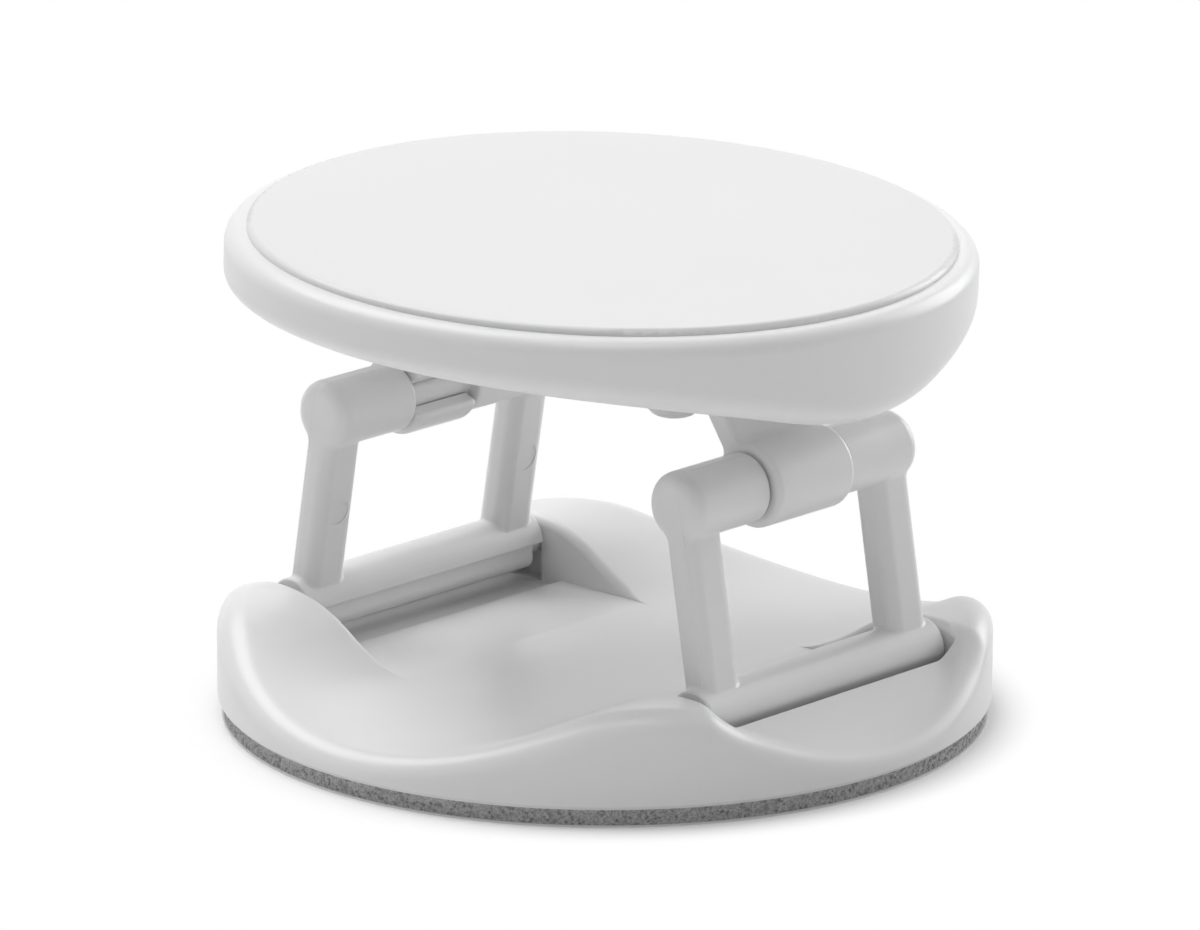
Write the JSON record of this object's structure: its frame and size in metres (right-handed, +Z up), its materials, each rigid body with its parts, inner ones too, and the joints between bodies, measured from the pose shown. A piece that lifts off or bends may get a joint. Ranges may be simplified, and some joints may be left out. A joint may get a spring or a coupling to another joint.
{
  "type": "folding phone holder",
  "caption": "Stick-on folding finger grip for a phone: round waved base on a foam pad, swinging wire-style frames and a round keeled plate held by spring clips.",
  "frame": {"origin": "centre of the underside, on the surface that the holder stands on or is stuck to", "axes": "+Z up from the stuck face to the plate, Y along the bars of the two frames, X across them"},
  "size_m": [0.04, 0.04, 0.0264],
  "materials": {
    "white_moulding": "satin moulded plastic",
    "white_cover": "smooth satin plastic",
    "grey_foam": "matt open-celled foam",
    "liner_film": "thin waxed film"
  },
  "bodies": {
    "base": {"base_plate": "white_moulding", "foam_pad": "grey_foam", "release_liner": "liner_film"},
    "left_frame": {"left_frame": "white_moulding"},
    "right_frame": {"right_frame": "white_moulding"},
    "plate": {"plate_shell": "white_moulding", "top_cover": "white_cover"}
  },
  "joints": [
    {"name": "left_frame_swing", "type": "hinge", "parent": "base", "child": "left_frame", "pos_m": [-0.0141, 0, 0.00444], "axis": [0, 1, 0], "range_deg": [-25, 25]},
    {"name": "right_frame_swing", "type": "hinge", "parent": "base", "child": "right_frame", "pos_m": [0.0141, 0, 0.00444], "axis": [0, 1, 0], "range_deg": [-25.5, 25.5]},
    {"name": "plate_turn", "type": "hinge", "parent": "left_frame", "child": "plate", "pos_m": [-0.01232, 0, 0.01492], "axis": [0, 1, 0], "range_deg": [-28.6, 28.6]}
  ],
  "couplings": [
    {"joint": "right_frame_swing", "follows": "left_frame_swing", "ratio": 1},
    {"joint": "plate_turn", "follows": "left_frame_swing", "ratio": -1.138}
  ]
}
